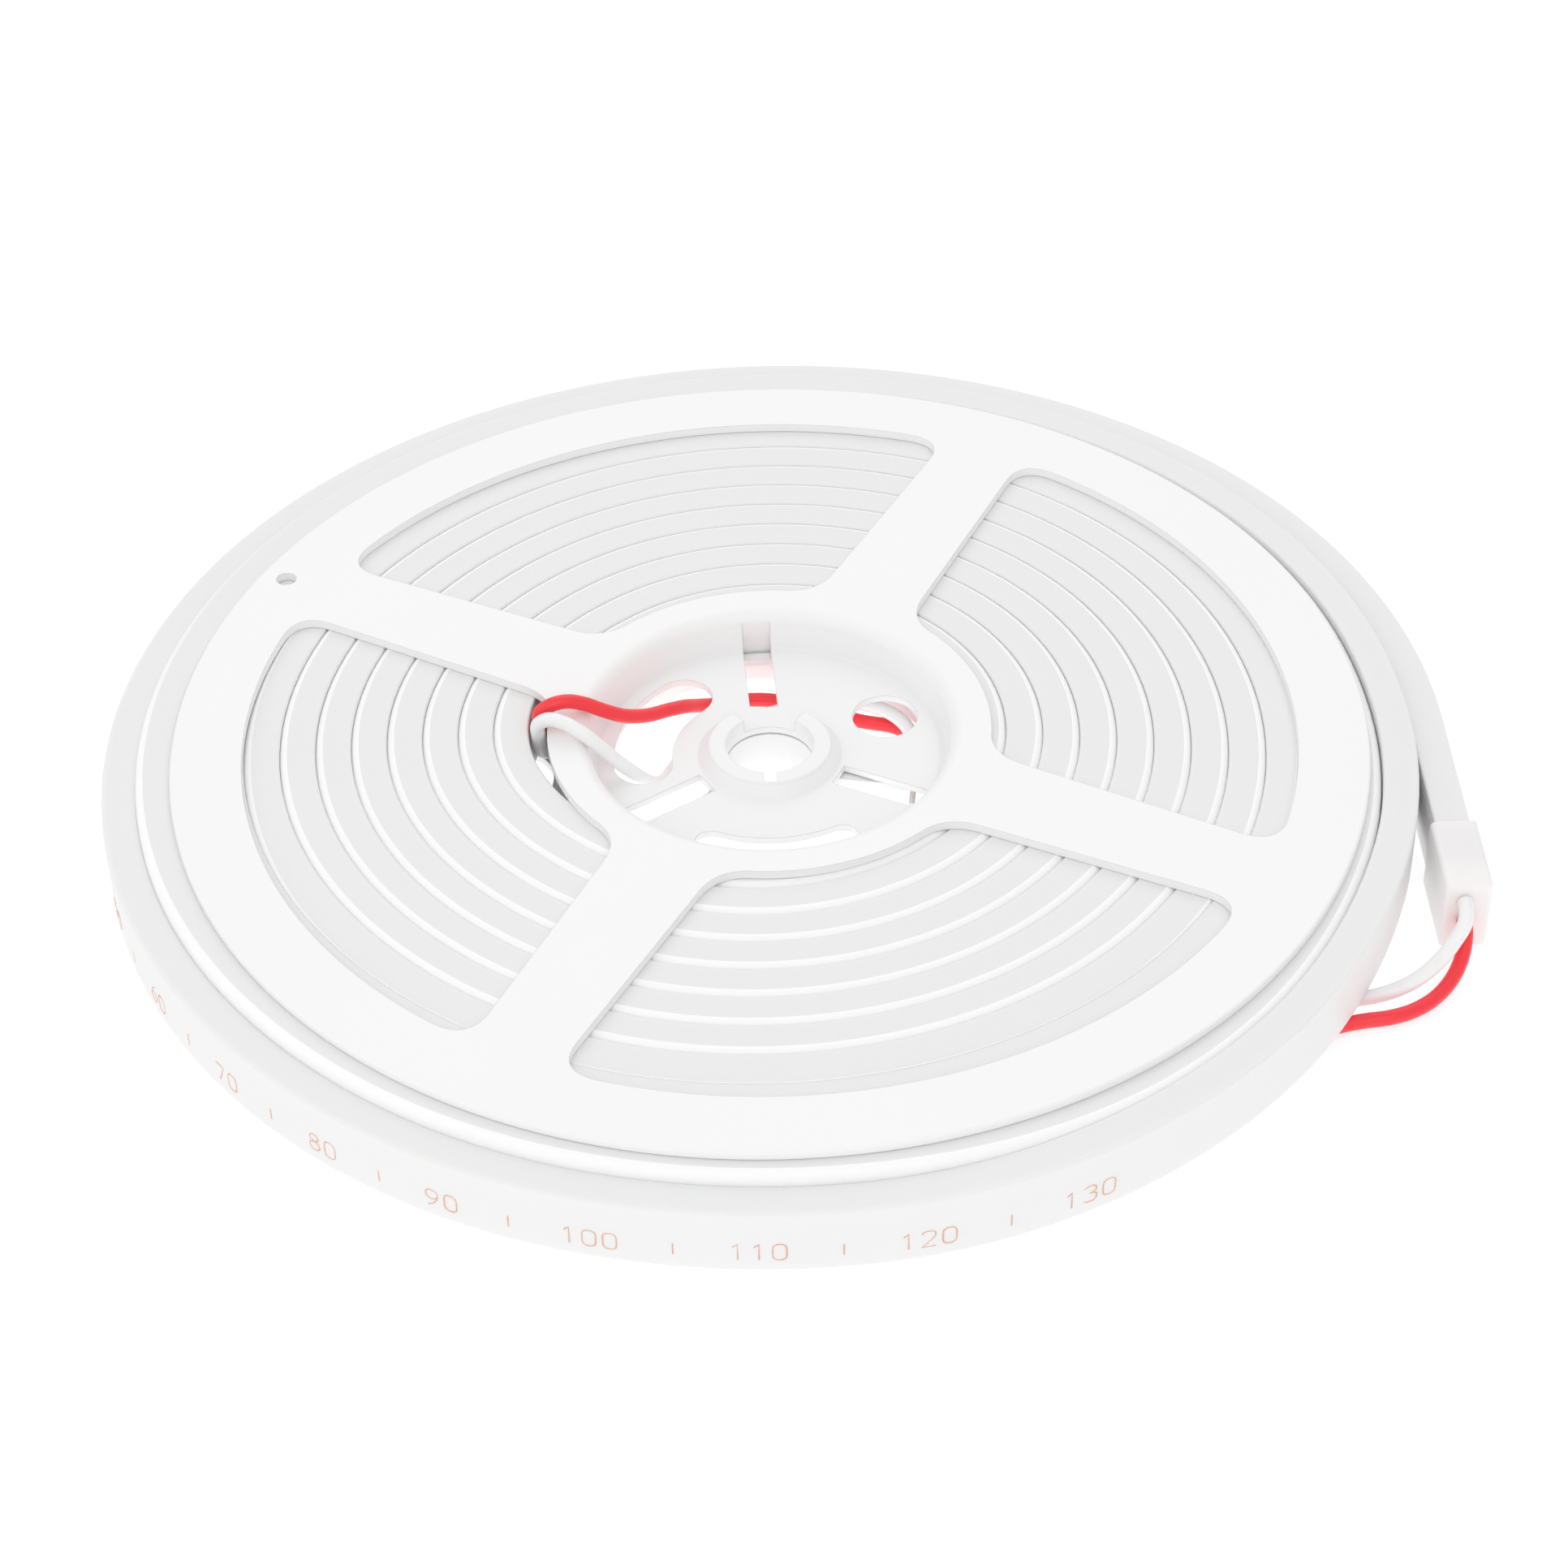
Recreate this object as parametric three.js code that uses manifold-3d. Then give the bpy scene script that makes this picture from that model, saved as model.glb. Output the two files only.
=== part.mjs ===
// A reel of silicone light strip: two snap-together reel halves, the wound strip, its end caps and its leads.
// Millimetres, +Z up. The reel lies flat, and its bottom flange and the outermost turn rest at Z = 0.
import * as THREE from "three";
import Module from "manifold-3d";
import { mergeVertices } from "three/addons/utils/BufferGeometryUtils.js";

const wasm = await Module();
wasm.setup();

// Driving sizes of the reel
const clearance = 0.3;
const flangeRadius = 89;
const flangeThickness = 1.4;
const flangeEdgeRound = 0.4;
const spokeAngle = 63;
const spokeCount = 4;
const spokeHalfWidthInside = 7.8;
const spokeHalfWidthOutside = 6.7;
const windowInnerRadius = 33.15;
const flangeRimWidth = 10.6;
const windowRoundInside = 5.5;
const windowRoundOutside = 6;
const startHoleRadius = 1.55;
const startHoleInset = 4.3;

// Driving sizes of the hub
const drumRadius = 27.6;
const drumWall = 1.8;
const wellDraft = 1.1;
const wellRimRound = 2.4;
const floorThickness = 1.1;
const lapDepth = 1.45;
const lapWall = 0.75;
const boreRadius = 6.5;
const bossRadius = 9.3;
const bossFootRadius = 11.1;
const bossHeight = 2.2;
const bossChamfer = 0.4;
const bossGapHalfAngle = 36;
const tubeRadius = 8.3;
const tubeFoot = 1;
const keyWidth = 1.8;
const keyReach = 8.9;
const slotAngle = 94;
const slotCount = 3;
const slotWidth = 4.3;
const slotInnerRadius = 11.3;
const slotOuterRadius = 27;
const leadHole = { radius: 19.1, halfWidth: 4.4, from: 133, to: 186 };
const frontHole = { radius: 21.6, halfWidth: 2.4, from: 246, to: 299 };
const fingerHole = { radius: 19.5, angle: 26, size: 4.95 };
const armAngles = [68, 228, 350];
const armHalfWidth = 2.4;
const armRingRadius = 10.2;

// Driving sizes of the strip and its winding; angles count clockwise, outwards from the first turn
const stripThickness = 5.2;
const stripHeight = 10.7;
const stripCornerRadius = 1.1;
const pitch = 5.5;
const leadRoom = 8;
const stepsPerTurn = 36;
const stepsInside = 16;
const tailLength = 30.9;
const backShift = 2.6;
const backShiftOutside = 0.95;
const leftShift = 0.5;
const leadBulge = { size: 2.45, angle: 178, halfWidth: 55, lastTurn: 13 };
const innerTuck = { size: 1.85, from: -60 };

// Driving sizes of the end caps and leads
const capWidth = 6.8;
const capHeight = 12.2;
const capLength = 13.8;
const capWall = 0.5;
const capPocket = 8.4;
const capCornerRadius = 0.8;
const plugLength = 9;
const plugWidth = 5.6;
const plugTurn = 5;
const plugGap = 0.55;
const leadDiameter = 2.2;
const leadSides = 8;
const routedDrumRadius = 27.6;
const routedTailRadius = 98.5;

// Levels that follow from the sizes
const stripFloor = flangeThickness + clearance;
const reelHeight = 2 * stripFloor + stripHeight;
const topUnderside = reelHeight - flangeThickness;
const middle = reelHeight / 2;
const topFloorBase = middle + clearance / 2;
const topFloorTop = topFloorBase + floorThickness;
const lowFloorTop = middle - clearance / 2;
const lowFloorBase = lowFloorTop - floorThickness;
const wellRadius = drumRadius - drumWall;
const rimRadius = wellRadius + wellDraft;
const windowOuterRadius = flangeRadius - flangeRimWidth;
const liftOnLeads = leadDiameter + 0.5;
const tailLift = (capHeight - stripHeight) / 2;
const outerTurnFloor = 0.05;

// The turns that the flange covers, and the one outside it
const firstRadius = drumRadius + leadRoom;
const shiftOutside = backShiftOutside + leftShift;
const coveredRadius = flangeRadius + clearance + stripThickness + shiftOutside;
const coveredTurns = Math.ceil((coveredRadius - firstRadius) / pitch);
const turnsToTail = coveredTurns + 1;
const windingSteps = stepsPerTurn * turnsToTail + stepsInside;
const backShiftLoss = (backShift - backShiftOutside) / coveredTurns;

// Where the hub's axis stands, so that the middle of the object's box is the origin
const axisPlace = new THREE.Vector2(-1.56, -2.295);

// Routes of the leads, from each exit to the bare end, about the hub's axis
const innerRedRoute = [
  [-29.5, 10.6, 8.8], [-31.3, 7.9, 8.9], [-33.1, 5.4, 9.4], [-34.1, 3.9, 10.9], [-34.4, 3.0, 13.0],
  [-34.2, 2.5, 15.2], [-32.6, 2.7, 16.4], [-30.2, 3.4, 16.5], [-27.6, 4.1, 15.4], [-25.0, 4.4, 13.9],
  [-21.8, 4.9, 12.3], [-18.4, 6.4, 11.1], [-15.3, 8.6, 10.3], [-12.8, 11.0, 9.0], [-10.9, 13.6, 7.0],
  [-8.0, 16.8, 4.6], [-3.8, 19.6, 3.1], [1.0, 20.3, 2.3], [7.0, 18.9, 1.6], [14.0, 16.0, 1.4],
  [19.4, 14.3, 1.4], [23.0, 10.9, 1.4], [24.7, 5.6, 1.4], [25.1, 0.9, 1.3],
];
const innerWhiteRoute = [
  [-29.5, 10.6, 5.3], [-31.2, 8.1, 5.2], [-32.9, 5.4, 5.6], [-34.0, 2.9, 7.3], [-34.4, 1.1, 9.9],
  [-34.5, 0.1, 12.8], [-34.4, -0.3, 15.1], [-32.8, -0.7, 16.4], [-30.4, -1.6, 16.4], [-27.8, -2.8, 15.4],
  [-25.4, -3.5, 13.5], [-22.6, -4.2, 10.9], [-20.0, -4.4, 8.6], [-18.0, -3.6, 6.3], [-16.3, -1.2, 4.4],
  [-14.9, 2.8, 3.2], [-12.4, 8.0, 2.8], [-7.6, 12.9, 2.9], [-1.0, 15.4, 3.4], [7.0, 16.7, 4.2],
  [14.0, 16.8, 4.3], [19.0, 14.0, 4.2], [21.7, 9.4, 3.9], [22.1, 4.4, 2.8], [21.7, 0.6, 1.7],
];
const outerWhiteRoute = [
  [98.7, -36.95, 9.2], [98.7, -38.5, 9.1], [98.2, -40.5, 8.0], [96.9, -42.0, 6.6], [95.1, -43.9, 5.4],
  [92.6, -46.0, 4.3], [89.8, -47.5, 3.3], [86.9, -48.2, 2.4], [84.2, -48.3, 1.6], [82.4, -48.35, 1.3],
  [80.9, -48.5, 1.2], [79.6, -48.9, 1.2], [78.4, -49.6, 1.2], [77.4, -50.6, 1.2], [76.7, -51.8, 1.2],
];
const outerRedRoute = [
  [98.9, -36.95, 5.6], [98.9, -38.6, 5.5], [98.5, -41.0, 4.2], [97.4, -43.6, 2.8], [95.6, -46.3, 1.9],
  [93.0, -48.9, 1.35], [89.9, -50.9, 1.2], [86.6, -52.1, 1.2], [83.4, -52.6, 1.2], [80.7, -53.2, 1.2],
  [78.4, -53.9, 1.2], [76.3, -54.9, 1.2], [74.2, -56.3, 1.2], [71.9, -58.2, 1.2], [69.6, -60.4, 1.2],
];

const materials = {
  reel: new THREE.MeshStandardMaterial({ color: 0xf4f4f3, roughness: 0.45, metalness: 0 }),
  strip: new THREE.MeshStandardMaterial({ color: 0xe6e6e6, roughness: 0.6, metalness: 0 }),
  cap: new THREE.MeshStandardMaterial({ color: 0xf0ebea, roughness: 0.5, metalness: 0 }),
  red: new THREE.MeshStandardMaterial({ color: 0xd8161c, roughness: 0.4, metalness: 0 }),
  white: new THREE.MeshStandardMaterial({ color: 0xf2f2f0, roughness: 0.4, metalness: 0 }),
};

const radians = THREE.MathUtils.degToRad;

function polar(radius, angle) {
  return new THREE.Vector2(radius * Math.cos(radians(angle)), radius * Math.sin(radians(angle)));
}

// Closed solids and their cuts
function solid(geometry) {
  const bare = geometry.clone();
  bare.deleteAttribute("normal");
  bare.deleteAttribute("uv");
  const merged = mergeVertices(bare, 1e-5);
  const mesh = new wasm.Mesh({
    numProp: 3,
    vertProperties: Float32Array.from(merged.attributes.position.array),
    triVerts: Uint32Array.from(merged.index.array),
  });
  return new wasm.Manifold(mesh);
}

function geometryOf(manifold) {
  const mesh = manifold.getMesh();
  const geometry = new THREE.BufferGeometry();
  geometry.setAttribute("position", new THREE.BufferAttribute(mesh.vertProperties, 3));
  geometry.setIndex(new THREE.BufferAttribute(mesh.triVerts, 1));
  geometry.computeVertexNormals();
  return geometry;
}

// A profile of [radius, height] points, closed on itself and turned about the hub's axis
function turned(profile, segments) {
  const points = profile.map(([radius, height]) => new THREE.Vector2(radius, height));
  points.push(points[0].clone());
  const geometry = new THREE.LatheGeometry(points, segments);
  geometry.rotateX(Math.PI / 2);
  return solid(geometry);
}

// Points of a quarter round between two directions about a centre
function round(centre, radius, from, to, steps) {
  const points = [];
  for (let i = 0; i <= steps; i += 1) {
    const offset = polar(radius, from + ((to - from) * i) / steps);
    points.push([centre[0] + offset.x, centre[1] + offset.y]);
  }
  return points;
}

// A prism through the reel between two heights
function prism(shape, low, high, curveSegments) {
  const geometry = new THREE.ExtrudeGeometry(shape, { depth: high - low, bevelEnabled: false, curveSegments });
  geometry.translate(0, 0, low);
  return solid(geometry);
}

// A window between two spokes or arms, with rounded corners
function windowShape(inner, outer, start, end, halfInside, halfOutside, roundInside, roundOutside) {
  const insideAngle = THREE.MathUtils.radToDeg(Math.asin(halfInside / inner));
  const outsideAngle = THREE.MathUtils.radToDeg(Math.asin(halfOutside / outer));
  const insideTrim = THREE.MathUtils.radToDeg(roundInside / inner);
  const outsideTrim = THREE.MathUtils.radToDeg(roundOutside / outer);
  const startInside = polar(inner, start + insideAngle);
  const startOutside = polar(outer, start + outsideAngle);
  const endOutside = polar(outer, end - outsideAngle);
  const endInside = polar(inner, end - insideAngle);
  const along = startOutside.clone().sub(startInside).normalize();
  const back = endInside.clone().sub(endOutside).normalize();
  const first = startInside.clone().addScaledVector(along, roundInside);
  const second = startOutside.clone().addScaledVector(along, -roundOutside);
  const third = endOutside.clone().addScaledVector(back, roundOutside);
  const fourth = endInside.clone().addScaledVector(back, -roundInside);
  const outerFrom = start + outsideAngle + outsideTrim;
  const outerTo = end - outsideAngle - outsideTrim;
  const innerFrom = end - insideAngle - insideTrim;
  const innerTo = start + insideAngle + insideTrim;
  const outerStart = polar(outer, outerFrom);
  const innerStart = polar(inner, innerFrom);
  const shape = new THREE.Shape();
  shape.moveTo(first.x, first.y);
  shape.lineTo(second.x, second.y);
  shape.quadraticCurveTo(startOutside.x, startOutside.y, outerStart.x, outerStart.y);
  shape.absarc(0, 0, outer, radians(outerFrom), radians(outerTo), false);
  shape.quadraticCurveTo(endOutside.x, endOutside.y, third.x, third.y);
  shape.lineTo(fourth.x, fourth.y);
  shape.quadraticCurveTo(endInside.x, endInside.y, innerStart.x, innerStart.y);
  shape.absarc(0, 0, inner, radians(innerFrom), radians(innerTo), true);
  shape.quadraticCurveTo(startInside.x, startInside.y, first.x, first.y);
  return shape;
}

// A slot bent round the axis, with round ends
function bentSlot({ radius, halfWidth, from, to }) {
  const startEnd = polar(radius, from);
  const farEnd = polar(radius, to);
  const shape = new THREE.Shape();
  shape.absarc(0, 0, radius + halfWidth, radians(from), radians(to), false);
  shape.absarc(farEnd.x, farEnd.y, halfWidth, radians(to), radians(to + 180), false);
  shape.absarc(0, 0, radius - halfWidth, radians(to), radians(from), true);
  shape.absarc(startEnd.x, startEnd.y, halfWidth, radians(from + 180), radians(from + 360), false);
  return shape;
}

// A block from one radius to another, pointing out at an angle
function radialBlock(inner, outer, width, low, high, angle) {
  const block = new THREE.BoxGeometry(outer - inner, width, high - low);
  block.translate((inner + outer) / 2, 0, (low + high) / 2);
  block.rotateZ(radians(angle));
  return solid(block);
}

function post(radius, low, high, x, y, segments) {
  const geometry = new THREE.CylinderGeometry(radius, radius, high - low, segments);
  geometry.rotateX(Math.PI / 2);
  geometry.translate(x, y, (low + high) / 2);
  return solid(geometry);
}

function flangeWindows(low, high) {
  const spacing = 360 / spokeCount;
  const cuts = [];
  for (let i = 0; i < spokeCount; i += 1) {
    const start = spokeAngle + i * spacing;
    const shape = windowShape(
      windowInnerRadius, windowOuterRadius, start, start + spacing,
      spokeHalfWidthInside, spokeHalfWidthOutside, windowRoundInside, windowRoundOutside,
    );
    cuts.push(prism(shape, low, high, 5));
  }
  return cuts;
}

function startHole(low, high) {
  const place = polar(flangeRadius - startHoleInset, spokeAngle + 360 / spokeCount);
  return post(startHoleRadius, low, high, place.x, place.y, 16);
}

function keyway(low, high) {
  return radialBlock(boreRadius - 1, keyReach, keyWidth, low, high, 270);
}

function makeTopHalf() {
  const profile = [
    [boreRadius, topFloorBase],
    [drumRadius - lapWall, topFloorBase],
    [drumRadius - lapWall, topFloorBase - lapDepth],
    [drumRadius, topFloorBase - lapDepth],
    [drumRadius, topUnderside],
    [flangeRadius - flangeEdgeRound, topUnderside],
    [flangeRadius, topUnderside + flangeEdgeRound],
    [flangeRadius, reelHeight - flangeEdgeRound],
    [flangeRadius - flangeEdgeRound, reelHeight],
    ...round([rimRadius + wellRimRound, reelHeight - wellRimRound], wellRimRound, 90, 180, 3),
    [wellRadius, topFloorTop + floorThickness / 2],
    [wellRadius - floorThickness / 2, topFloorTop],
    [bossFootRadius, topFloorTop],
    [bossRadius + bossChamfer, topFloorTop + bossHeight / 4],
    [bossRadius, topFloorTop + bossHeight - bossChamfer],
    [bossRadius - bossChamfer, topFloorTop + bossHeight],
    [boreRadius + bossChamfer, topFloorTop + bossHeight],
    [boreRadius, topFloorTop + bossHeight - bossChamfer],
  ];
  let half = turned(profile, 64);
  const below = topFloorBase - lapDepth - 1;
  const above = reelHeight + 1;
  const cuts = [
    ...flangeWindows(topUnderside - 1, above),
    startHole(topUnderside - 1, above),
    keyway(below, above),
    prism(bentSlot(leadHole), below, above, 6),
    prism(bentSlot(frontHole), below, above, 5),
  ];
  const finger = polar(fingerHole.radius, fingerHole.angle);
  cuts.push(post(fingerHole.size, below, above, finger.x, finger.y, 20));
  for (let i = 0; i < slotCount; i += 1) {
    const angle = slotAngle + (i * 360) / slotCount;
    cuts.push(radialBlock(slotInnerRadius, slotOuterRadius, slotWidth, below, above, angle));
  }
  const gap = new THREE.Shape();
  gap.moveTo(0, 0);
  gap.absarc(0, 0, bossFootRadius + 1, radians(90 - bossGapHalfAngle), radians(90 + bossGapHalfAngle), false);
  cuts.push(prism(gap, topFloorTop, above, 8));
  for (const cut of cuts) {
    half = half.subtract(cut);
  }
  return geometryOf(half);
}

function makeBottomHalf() {
  const shoulder = topFloorBase - lapDepth - clearance;
  const profile = [
    [boreRadius, tubeFoot],
    [tubeRadius, tubeFoot],
    [tubeRadius, lowFloorBase],
    [wellRadius, lowFloorBase],
    ...round([rimRadius + wellRimRound, wellRimRound], wellRimRound, 180, 270, 3),
    [flangeRadius - flangeEdgeRound, 0],
    [flangeRadius, flangeEdgeRound],
    [flangeRadius, flangeThickness - flangeEdgeRound],
    [flangeRadius - flangeEdgeRound, flangeThickness],
    [drumRadius, flangeThickness],
    [drumRadius, shoulder],
    [drumRadius - lapWall - clearance, shoulder],
    [drumRadius - lapWall - clearance, lowFloorTop],
    [boreRadius, lowFloorTop],
  ];
  let half = turned(profile, 40);
  const cuts = [...flangeWindows(-1, flangeThickness + 1), keyway(-1, middle)];
  for (let i = 0; i < armAngles.length; i += 1) {
    const start = armAngles[i];
    const end = i + 1 < armAngles.length ? armAngles[i + 1] : armAngles[0] + 360;
    const outer = wellRadius - 0.8;
    const shape = windowShape(armRingRadius, outer, start, end, armHalfWidth, armHalfWidth, 1.5, 1.5);
    cuts.push(prism(shape, lowFloorBase - 1, lowFloorTop + 1, 4));
  }
  for (const cut of cuts) {
    half = half.subtract(cut);
  }
  return geometryOf(half);
}

function smooth(value, from, to) {
  return THREE.MathUtils.smoothstep(value, from, to);
}

// Height of the strip's underside: on the flange, then over the leads, then down on the floor, then in the cap
function stripBase(angle) {
  const last = 360 * coveredTurns;
  const onto = smooth(angle, last - 110, last) * (liftOnLeads - stripFloor);
  const down = smooth(angle, last + 52, last + 130) * (liftOnLeads - outerTurnFloor);
  const up = smooth(angle, last + 240, last + 360) * (tailLift - outerTurnFloor);
  return stripFloor + onto - down + up;
}

// Distance of the strip's middle from the hub's axis, for a winding angle in degrees
function stripRadius(angle) {
  const turn = angle / 360;
  const facing = radians(-angle);
  const back = (backShift - backShiftLoss * turn) * Math.sin(facing);
  const left = -leftShift * Math.cos(facing);
  const offset = ((((-angle - leadBulge.angle) % 360) + 540) % 360) - 180;
  const near = Math.max(0, Math.cos(radians((offset / leadBulge.halfWidth) * 90)));
  const within = Math.abs(offset) < leadBulge.halfWidth && angle > 0;
  const bulge = within ? leadBulge.size * (1 - turn / leadBulge.lastTurn) * near * near : 0;
  const tuck = innerTuck.size * (1 - smooth(angle, windingStart, innerTuck.from));
  return firstRadius + pitch * turn + back + left + bulge - tuck - stripThickness / 2;
}

const tailAngle = 360 * turnsToTail;
const tailRadius = firstRadius + pitch * turnsToTail - leftShift - stripThickness / 2;
const windingEnd = tailAngle + THREE.MathUtils.radToDeg(tailLength / tailRadius);
const windingStart = windingEnd - (windingSteps * 360) / stepsPerTurn;
const tailSlope = new THREE.Vector2(0.02, -1).normalize();

// The strip's middle line, from its inner end to its outer end
class WindingPath extends THREE.Curve {
  getUtoTmapping(u) {
    return u;
  }

  getPoint(t) {
    const angle = windingStart + t * (windingEnd - windingStart);
    const turning = Math.min(angle, tailAngle);
    const place = polar(stripRadius(turning), -turning);
    const straight = radians(angle - turning) * tailRadius;
    place.addScaledVector(tailSlope, straight);
    return new THREE.Vector3(place.x, place.y, stripBase(angle) + stripHeight / 2);
  }
}

// The strip's section: the diffuser's two corners are rounded, the back's are sharp
function stripSection() {
  const half = stripHeight / 2;
  const out = stripThickness / 2;
  const shape = new THREE.Shape();
  shape.moveTo(-half, -out);
  shape.lineTo(half, -out);
  for (const [side, from] of [[1, 0], [-1, 90]]) {
    for (const turn of [0, 45, 90]) {
      const corner = polar(stripCornerRadius, from + turn);
      shape.lineTo(side * (half - stripCornerRadius) + corner.x, out - stripCornerRadius + corner.y);
    }
  }
  return shape;
}

function makeStrip() {
  return new THREE.ExtrudeGeometry(stripSection(), {
    steps: windingSteps,
    extrudePath: new WindingPath(),
    bevelEnabled: false,
  });
}

// A block with rounded long edges, lying along Y from its near end at the origin
function roundedBlock(width, height, length, radius) {
  const w = width / 2 - radius;
  const h = height / 2 - radius;
  const shape = new THREE.Shape();
  shape.absarc(w, h, radius, 0, Math.PI / 2, false);
  shape.absarc(-w, h, radius, Math.PI / 2, Math.PI, false);
  shape.absarc(-w, -h, radius, Math.PI, Math.PI * 1.5, false);
  shape.absarc(w, -h, radius, Math.PI * 1.5, Math.PI * 2, false);
  const geometry = new THREE.ExtrudeGeometry(shape, { depth: length, bevelEnabled: false, curveSegments: 3 });
  geometry.rotateX(Math.PI / 2);
  return geometry;
}

// The outer end cap is a sleeve over the strip's end, and the leads leave its closed end
function makeOuterCap() {
  const body = solid(roundedBlock(capWidth, capHeight, capLength, capCornerRadius));
  const pocket = new THREE.BoxGeometry(capWidth - 2 * capWall, capPocket * 2, capHeight - 2 * capWall);
  const geometry = geometryOf(body.subtract(solid(pocket)));
  const end = new WindingPath().getPoint(1);
  const depth = capPocket - clearance;
  geometry.rotateZ(Math.atan2(tailSlope.y, tailSlope.x) + Math.PI / 2);
  geometry.translate(end.x - tailSlope.x * depth, end.y - tailSlope.y * depth, end.z);
  return geometry;
}

// The inner end cap is a plug of about the strip's own section
function makeInnerCap() {
  const geometry = roundedBlock(plugWidth, stripHeight, plugLength, capCornerRadius);
  const path = new WindingPath();
  const end = path.getPoint(0);
  const heading = path.getPoint(0).sub(path.getPoint(0.001));
  const angle = Math.atan2(heading.y, heading.x) + radians(plugTurn);
  geometry.rotateZ(angle + Math.PI / 2);
  geometry.translate(end.x + plugGap * Math.cos(angle), end.y + plugGap * Math.sin(angle), end.z);
  return geometry;
}

// A route's point, moved out with the drum or the outermost turn where they are larger than it was laid for
function moved([x, y, z], spread, from, to) {
  const radius = Math.hypot(x, y);
  const share = 1 + (spread * smooth(radius, from, to)) / radius;
  return new THREE.Vector3(x * share, y * share, z);
}

function makeLead(points, steps) {
  const curve = new THREE.CatmullRomCurve3(points, false, "centripetal");
  const section = new THREE.Shape();
  for (let i = 0; i < leadSides; i += 1) {
    const corner = polar(leadDiameter / 2, ((i + 0.5) * 360) / leadSides);
    if (i === 0) {
      section.moveTo(corner.x, corner.y);
    } else {
      section.lineTo(corner.x, corner.y);
    }
  }
  return new THREE.ExtrudeGeometry(section, { steps, extrudePath: curve, bevelEnabled: false });
}

function named(name, geometry, material) {
  const mesh = new THREE.Mesh(geometry, material);
  mesh.name = name;
  return mesh;
}

function makeOuterLead(route) {
  const spread = tailRadius - routedTailRadius;
  return makeLead(route.map((point) => moved(point, spread, 0, 1)), 18);
}

function makeInnerLead(route) {
  const spread = drumRadius - routedDrumRadius;
  return makeLead(route.map((point) => moved(point, spread, 0.6 * routedDrumRadius, routedDrumRadius)), 38);
}

const reel = new THREE.Group();
reel.position.set(axisPlace.x, axisPlace.y, 0);
reel.add(named("reel_top_half", makeTopHalf(), materials.reel));
reel.add(named("reel_bottom_half", makeBottomHalf(), materials.reel));
reel.add(named("light_strip", makeStrip(), materials.strip));
reel.add(named("outer_end_cap", makeOuterCap(), materials.cap));
reel.add(named("inner_end_cap", makeInnerCap(), materials.cap));
reel.add(named("outer_lead_red", makeOuterLead(outerRedRoute), materials.red));
reel.add(named("outer_lead_white", makeOuterLead(outerWhiteRoute), materials.white));
reel.add(named("inner_lead_red", makeInnerLead(innerRedRoute), materials.red));
reel.add(named("inner_lead_white", makeInnerLead(innerWhiteRoute), materials.white));

const object = new THREE.Group();
object.add(reel);

export default object;
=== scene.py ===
import math

import bpy
import numpy as np
from bpy.props import FloatProperty, FloatVectorProperty, IntProperty, PointerProperty, StringProperty
from mathutils import Matrix, Vector


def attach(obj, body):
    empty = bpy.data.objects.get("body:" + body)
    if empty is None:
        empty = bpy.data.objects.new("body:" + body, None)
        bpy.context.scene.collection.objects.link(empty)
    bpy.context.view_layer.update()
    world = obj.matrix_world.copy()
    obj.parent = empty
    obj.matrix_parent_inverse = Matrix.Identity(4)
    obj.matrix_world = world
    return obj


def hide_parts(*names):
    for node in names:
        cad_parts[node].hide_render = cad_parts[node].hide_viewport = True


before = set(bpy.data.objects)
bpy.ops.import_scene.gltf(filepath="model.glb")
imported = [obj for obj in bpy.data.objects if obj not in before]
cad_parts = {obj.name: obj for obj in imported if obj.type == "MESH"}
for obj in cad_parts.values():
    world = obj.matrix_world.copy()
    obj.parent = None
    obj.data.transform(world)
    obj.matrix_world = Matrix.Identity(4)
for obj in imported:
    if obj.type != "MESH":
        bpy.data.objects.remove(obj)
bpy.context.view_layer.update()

bl_info = {
    "name": "Light strip reel",
    "version": (1, 0, 0),
    "blender": (4, 5, 0),
    "location": "3D View > Sidebar > Strip Reel",
    "description": "Builds a full reel of silicone light strip, its leads and a small studio",
    "category": "Object",
}

HUB = Vector((-0.00156, -0.002295, 0.0))

# Routes of the leads from the hub's axis, in metres, through the same points as the CAD cords
INNER_RED = [
    (-0.0295, 0.0106, 0.0088), (-0.0313, 0.0079, 0.0089), (-0.0331, 0.0054, 0.0094), (-0.0341, 0.0039, 0.0109),
    (-0.0344, 0.0030, 0.0130), (-0.0342, 0.0025, 0.0152), (-0.0326, 0.0027, 0.0164), (-0.0302, 0.0034, 0.0165),
    (-0.0276, 0.0041, 0.0154), (-0.0250, 0.0044, 0.0139), (-0.0218, 0.0049, 0.0123), (-0.0184, 0.0064, 0.0111),
    (-0.0153, 0.0086, 0.0103), (-0.0128, 0.0110, 0.0090), (-0.0109, 0.0136, 0.0070), (-0.0080, 0.0168, 0.0046),
    (-0.0038, 0.0196, 0.0031), (0.0010, 0.0203, 0.0023), (0.0070, 0.0189, 0.0016), (0.0140, 0.0160, 0.0014),
    (0.0194, 0.0143, 0.0014), (0.0230, 0.0109, 0.0014), (0.0247, 0.0056, 0.0014), (0.0251, 0.0009, 0.0013),
]
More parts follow.
